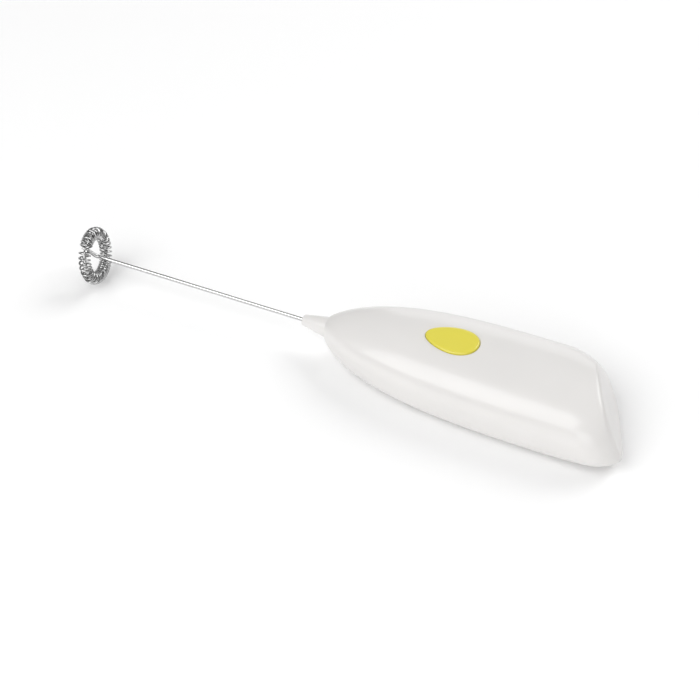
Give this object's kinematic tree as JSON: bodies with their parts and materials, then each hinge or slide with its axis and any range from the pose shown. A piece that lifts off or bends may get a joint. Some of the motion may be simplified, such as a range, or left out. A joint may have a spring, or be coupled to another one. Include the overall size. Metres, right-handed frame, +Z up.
{
  "type": "milk frother",
  "caption": "Hand-held battery milk frother: spring-ring whisk on a long thin wire, egg-nosed flat-topped handle with an egg-shaped push button and a hinged battery door in its belly.",
  "frame": {"origin": "middle of the flat on the belly that the handle lies on", "axes": "+X along the handle from whisk to tail, +Z up through the push button, whisk axis parallel to X at 13 mm height"},
  "size_m": [0.2258, 0.0436, 0.0276],
  "materials": {
    "white_abs": "moulded, glossy, pearl white",
    "yellow_abs": "moulded, satin gloss, lemon yellow",
    "grey_abs": "moulded, matte",
    "nylon": "moulded nylon",
    "can_steel": "zinc plated, drawn",
    "zinc_screw": "zinc plated",
    "ferrite": "sintered ferrite",
    "bronze": "sintered bronze",
    "contact_brass": "stamped brass",
    "contact_steel": "nickel plated spring steel",
    "cell_sleeve": "printed sleeve, plain, unmarked",
    "shaft_steel": "ground",
    "rotor_steel": "laminated electrical steel",
    "copper_wire": "enamelled copper wire",
    "whisk_steel": "bright stainless wire"
  },
  "bodies": {
    "handle": {"main_housing": "white_abs", "nose_cone": "white_abs", "belly_plate": "white_abs", "case_screws": "zinc_screw", "chassis": "grey_abs", "motor_can": "can_steel", "motor_end_cap": "nylon", "motor_magnets": "ferrite", "motor_bushes": "bronze", "motor_brushes": "contact_brass", "motor_terminals": "contact_brass", "cell_near": "cell_sleeve", "cell_far": "cell_sleeve", "positive_contact": "contact_steel", "negative_contact": "contact_steel", "link_plate": "contact_steel", "supply_strip": "contact_brass", "switch_leaf": "contact_brass"},
    "button": {"power_button": "yellow_abs"},
    "door": {"battery_door": "white_abs"},
    "whisk": {"motor_shaft": "shaft_steel", "rotor_core": "rotor_steel", "rotor_windings": "copper_wire", "commutator": "contact_brass", "shaft_coupler": "contact_brass", "whisk_wire": "whisk_steel", "whisk_coil": "whisk_steel"}
  },
  "joints": [
    {"name": "whisk_spin", "type": "hinge", "parent": "handle", "child": "whisk", "pos_m": [-0.05, 0, 0.013], "axis": [-1, 0, 0], "continuous": true},
    {"name": "button_press", "type": "slide", "parent": "handle", "child": "button", "axis": [0, 0, -1], "range_m": [0, 0.001], "stiffness_N_per_m": 900, "springref_m": -0.0005, "deforming": ["switch_leaf"]},
    {"name": "battery_door_swing", "type": "hinge", "parent": "handle", "child": "door", "pos_m": [-0.018, 0, 0], "axis": [0, 1, 0], "range_deg": [0, 70]}
  ]
}
